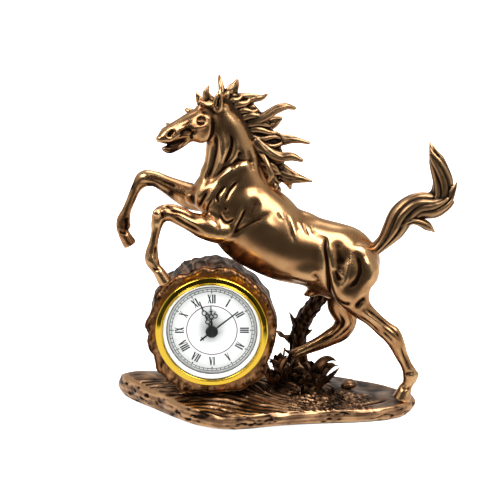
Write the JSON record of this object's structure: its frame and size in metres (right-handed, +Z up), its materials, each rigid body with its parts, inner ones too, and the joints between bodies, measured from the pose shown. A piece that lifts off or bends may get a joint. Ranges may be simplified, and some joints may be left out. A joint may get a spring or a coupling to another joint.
{
  "type": "horse statuette with clock",
  "caption": "Antique bronze rearing horse on a rock base, forehoof on a stump that holds a drop-in quartz clock.",
  "frame": {"origin": "under the middle of the base, on the surface that it stands on", "axes": "+Z up, +Y to the back, the clock faces -Y, +X towards the tail"},
  "size_m": [0.2153, 0.0943, 0.2161],
  "materials": {
    "bronze": "antique bronze, cold-cast, semi-polished",
    "dark_bronze": "dark patinated bronze, cold-cast, rubbed edges",
    "gilt": "polished gilt",
    "lens": "clear, polished",
    "dial_white": "printed white card",
    "ring_white": "moulded",
    "hand_black": "black lacquered steel",
    "case_black": "moulded, fine texture",
    "wheel_plastic": "moulded acetal",
    "pipe_brass": "turned",
    "steel": "bright",
    "copper": "enamelled copper wire",
    "board": "solder-masked board",
    "rubber": "moulded",
    "felt": "wool felt"
  },
  "bodies": {
    "statue": {"base": "bronze", "felt_sheet": "felt", "stump": "dark_bronze", "horse_body": "bronze", "left_foreleg": "bronze", "right_foreleg": "bronze", "left_hind_leg": "bronze", "right_hind_leg": "bronze", "hind_leg_pin": "steel", "tail": "dark_bronze", "mane": "dark_bronze", "dead_branch": "dark_bronze", "fern_clump": "dark_bronze", "pebble": "bronze"},
    "clock_insert": {"bezel": "gilt", "crystal": "lens", "dial_ring": "ring_white", "dial": "dial_white", "movement_case": "case_black", "movement_plate": "ring_white", "friction_ring": "rubber", "stator": "steel", "coil": "copper", "circuit_board": "board", "quartz_can": "steel", "contact_negative": "steel", "contact_positive": "steel"},
    "seconds_arbor": {"second_hand": "hand_black", "seconds_wheel": "wheel_plastic"},
    "minute_arbor": {"minute_hand": "hand_black", "minute_pipe": "pipe_brass"},
    "hour_arbor": {"hour_hand": "hand_black", "hour_wheel": "wheel_plastic"},
    "centre_wheel": {"centre_wheel": "wheel_plastic"},
    "third_wheel": {"third_wheel": "wheel_plastic"},
    "fifth_wheel": {"fifth_wheel": "wheel_plastic"},
    "rotor": {"rotor": "steel"},
    "motion_wheel": {"motion_wheel": "wheel_plastic"},
    "setting_knob": {"setting_knob": "case_black"},
    "button_cell": {"button_cell": "steel"}
  },
  "joints": [
    {"name": "clock_slide", "type": "slide", "parent": "statue", "child": "clock_insert", "axis": [0, -1, 0], "range_m": [0, 0.04]},
    {"name": "seconds_turn", "type": "hinge", "parent": "clock_insert", "child": "seconds_arbor", "pos_m": [-0.035, -0.0265, 0.0595], "axis": [0, 1, 0], "continuous": true},
    {"name": "minute_turn", "type": "hinge", "parent": "clock_insert", "child": "minute_arbor", "pos_m": [-0.035, -0.0265, 0.0595], "axis": [0, 1, 0], "continuous": true},
    {"name": "hour_turn", "type": "hinge", "parent": "clock_insert", "child": "hour_arbor", "pos_m": [-0.035, -0.0265, 0.0595], "axis": [0, 1, 0], "continuous": true},
    {"name": "centre_wheel_turn", "type": "hinge", "parent": "clock_insert", "child": "centre_wheel", "pos_m": [-0.035, -0.0265, 0.0595], "axis": [0, 1, 0], "continuous": true},
    {"name": "third_wheel_turn", "type": "hinge", "parent": "clock_insert", "child": "third_wheel", "pos_m": [-0.04177, -0.0265, 0.05704], "axis": [0, 1, 0], "continuous": true},
    {"name": "fifth_wheel_turn", "type": "hinge", "parent": "clock_insert", "child": "fifth_wheel", "pos_m": [-0.0295, -0.0265, 0.0549], "axis": [0, 1, 0], "continuous": true},
    {"name": "rotor_turn", "type": "hinge", "parent": "clock_insert", "child": "rotor", "pos_m": [-0.026, -0.0265, 0.0488], "axis": [0, 1, 0], "continuous": true},
    {"name": "motion_wheel_turn", "type": "hinge", "parent": "clock_insert", "child": "motion_wheel", "pos_m": [-0.032, -0.0265, 0.0647], "axis": [0, 1, 0], "continuous": true},
    {"name": "knob_turn", "type": "hinge", "parent": "clock_insert", "child": "setting_knob", "pos_m": [-0.0264, -0.0265, 0.06675], "axis": [0, 1, 0], "continuous": true},
    {"name": "cell_slide", "type": "slide", "parent": "clock_insert", "child": "button_cell", "axis": [0, 1, 0], "range_m": [0, 0.008]}
  ],
  "couplings": [
    {"joint": "third_wheel_turn", "follows": "seconds_turn", "ratio": -0.13333},
    {"joint": "centre_wheel_turn", "follows": "seconds_turn", "ratio": 0.016667},
    {"joint": "fifth_wheel_turn", "follows": "seconds_turn", "ratio": -5},
    {"joint": "rotor_turn", "follows": "seconds_turn", "ratio": 30},
    {"joint": "hour_turn", "follows": "minute_turn", "ratio": 0.083333},
    {"joint": "motion_wheel_turn", "follows": "minute_turn", "ratio": -0.33333},
    {"joint": "knob_turn", "follows": "minute_turn", "ratio": 1}
  ]
}
